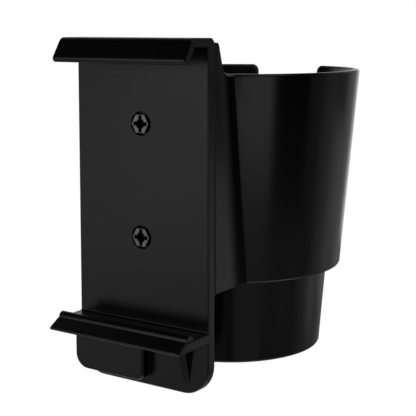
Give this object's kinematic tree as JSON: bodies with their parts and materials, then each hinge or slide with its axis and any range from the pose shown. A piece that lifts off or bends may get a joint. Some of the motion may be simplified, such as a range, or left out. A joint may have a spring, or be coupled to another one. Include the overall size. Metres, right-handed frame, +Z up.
{
  "type": "clip-on cup holder",
  "caption": "Stepped cup holder with a handle notch, screwed to a flat plate whose hook and shelf clip over the edge of an upright panel.",
  "frame": {"origin": "middle of the panel's top edge, where the plate's face meets the underside of the hook", "axes": "+X along the plate, +Y from the plate to the cup, +Z up; the panel lies at negative Y, below the hook"},
  "size_m": [0.112, 0.137, 0.138],
  "materials": {
    "black_plastic": "satin, fine moulded grain",
    "steel": "black zinc plated",
    "brass": "plain"
  },
  "bodies": {
    "root": {"clip_plate": "black_plastic", "cup_body": "black_plastic", "upper_screw": "steel", "lower_screw": "steel", "upper_insert": "brass", "lower_insert": "brass"}
  },
  "joints": []
}
